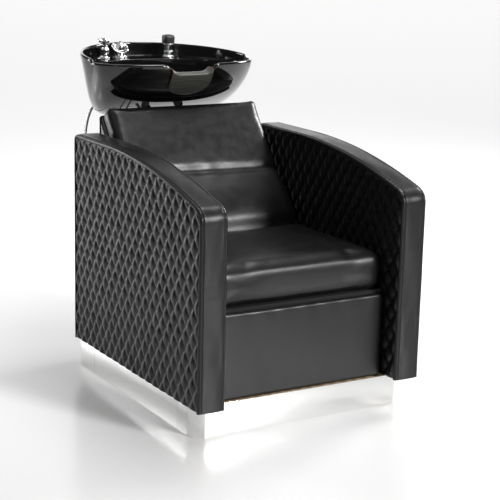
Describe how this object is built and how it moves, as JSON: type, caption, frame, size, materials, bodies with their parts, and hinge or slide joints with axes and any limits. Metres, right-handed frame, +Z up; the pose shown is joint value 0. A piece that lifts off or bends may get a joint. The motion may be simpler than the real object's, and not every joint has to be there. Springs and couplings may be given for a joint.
{
  "type": "shampoo backwash unit",
  "caption": "Quilted salon armchair on a polished plinth with a tilting basin, neck rest, mixer and hand shower behind the headrest.",
  "frame": {"origin": "on the floor at the centre of the object's box, seen from above", "axes": "+Z up, +X to the sitter's left across the chair, +Y towards the basin behind the chair"},
  "size_m": [0.7, 1.17, 0.956],
  "materials": {
    "leather": "soft black upholstery leather with a fine grain and a low sheen",
    "plywood": "plain birch plywood",
    "stainless": "polished stainless sheet",
    "chrome": "bright chrome plate",
    "hose_metal": "interlocked chrome hose",
    "braid": "braided steel over rubber",
    "basin": "deep gloss black",
    "gel": "grey translucent gel with a dotted surface",
    "painted_steel": "satin black powder coat",
    "black_plastic": "satin black moulded plastic",
    "rubber": "black rubber",
    "brass": "plain brass"
  },
  "bodies": {
    "chair": {"arm_band_left": "leather", "arm_band_right": "leather", "arm_inner_pad_left": "leather", "arm_inner_pad_right": "leather", "arm_outer_pad_left": "leather", "arm_outer_pad_right": "leather", "apron_pad": "leather", "seat_cushion": "leather", "back_cushion": "leather", "rear_housing": "leather", "plinth_frame": "plywood", "arm_core_left": "plywood", "arm_core_right": "plywood", "base_board": "plywood", "apron_board": "plywood", "seat_rail": "plywood", "seat_board": "plywood", "back_board": "plywood", "plinth_front": "stainless", "plinth_rear": "stainless", "plinth_left": "stainless", "plinth_right": "stainless", "anchor_bracket_left": "stainless", "anchor_bracket_right": "stainless", "tilt_pin": "stainless", "panel_screw_left": "stainless", "panel_screw_right": "stainless", "post_flange": "painted_steel", "bowl_post": "painted_steel", "pivot_bracket": "painted_steel", "service_panel": "black_plastic", "waste_outlet": "black_plastic", "hot_inlet": "brass", "cold_inlet": "brass"},
    "bowl": {"bowl": "basin", "neck_rest": "gel", "tilt_cradle": "painted_steel", "tilt_bush_left": "black_plastic", "tilt_bush_right": "black_plastic", "drain_flange": "chrome", "drain_gasket": "rubber", "drain_nut": "brass", "drain_tailpiece": "chrome", "valve_body": "chrome", "valve_cap": "chrome", "mixer_base": "chrome", "mixer_nut": "brass", "spray_guide": "chrome", "guide_nut": "brass", "shower_hose": "hose_metal", "hot_hose": "braid", "cold_hose": "braid", "waste_hose": "black_plastic"},
    "strainer": {"strainer_basket": "chrome"},
    "mixer_head": {"mixer_cap": "chrome"},
    "mixer_handle": {"mixer_lever": "chrome"},
    "sprayer": {"spray_handle": "chrome", "spray_head": "black_plastic", "hose_ferrule": "chrome"},
    "tilt_lock": {"tilt_lock_lever": "black_plastic"}
  },
  "joints": [
    {"name": "bowl_tilt", "type": "hinge", "parent": "chair", "child": "bowl", "pos_m": [0, 0.305, 0.712], "axis": [-1, 0, 0], "range_deg": [0, 15], "deforming": ["hot_hose", "cold_hose", "waste_hose"]},
    {"name": "lock_turn", "type": "hinge", "parent": "chair", "child": "tilt_lock", "pos_m": [0, 0.305, 0.712], "axis": [1, 0, 0], "range_deg": [0, 60]},
    {"name": "mixer_swivel", "type": "hinge", "parent": "bowl", "child": "mixer_head", "pos_m": [-0.045, 0.519, 0.917], "axis": [0, 0, 1], "range_deg": [-45, 45]},
    {"name": "mixer_lift", "type": "hinge", "parent": "mixer_head", "child": "mixer_handle", "pos_m": [-0.045, 0.519, 0.917], "axis": [-1, 0, 0], "range_deg": [0, 25]},
    {"name": "sprayer_lift", "type": "slide", "parent": "bowl", "child": "sprayer", "axis": [0, 0, 1], "range_m": [0, 0.12], "deforming": ["shower_hose"]},
    {"name": "strainer_lift", "type": "slide", "parent": "bowl", "child": "strainer", "axis": [0, 0, 1], "range_m": [0, 0.06]}
  ]
}
